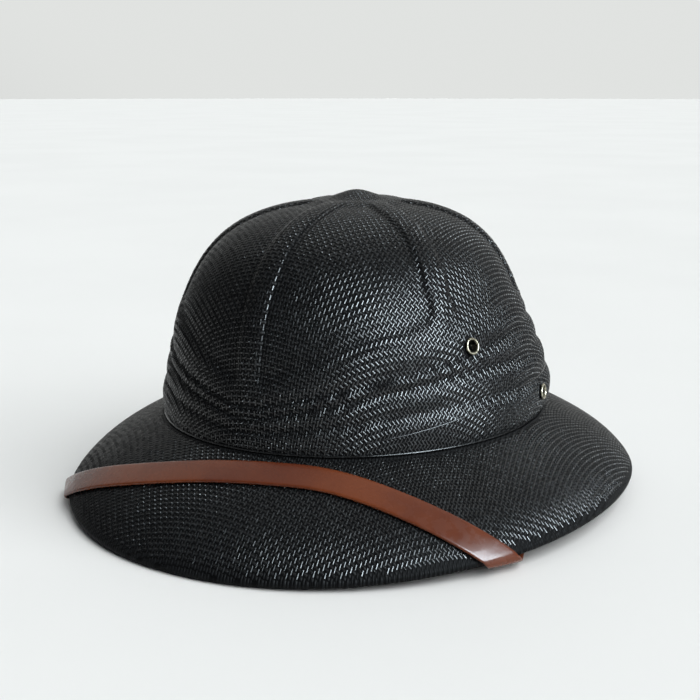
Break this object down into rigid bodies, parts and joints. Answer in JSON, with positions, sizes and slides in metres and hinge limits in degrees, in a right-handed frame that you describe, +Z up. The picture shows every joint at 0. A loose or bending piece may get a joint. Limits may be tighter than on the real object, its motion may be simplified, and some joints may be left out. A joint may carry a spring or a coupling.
{
  "type": "pith helmet",
  "caption": "Woven straw pith helmet with a ribbed, pleated dome, a drooping oval brim, brass eyelets and a leather chin strap laid over the front of the brim.",
  "frame": {"origin": "on the floor under the middle of the brim's length and width", "axes": "+Z up, -Y towards the front of the hat, +X towards the wearer's left"},
  "size_m": [0.2794, 0.317, 0.1499],
  "materials": {
    "straw": "black woven paper straw with a low sheen",
    "leather": "smooth glossy brown leather",
    "brass": "antique brass"
  },
  "bodies": {
    "root": {"crown": "straw", "brim": "straw", "chin_strap": "leather", "eyelet_upper_left": "brass", "eyelet_lower_left": "brass", "eyelet_upper_right": "brass", "eyelet_lower_right": "brass", "strap_stud_left": "brass", "strap_stud_right": "brass"}
  },
  "joints": []
}
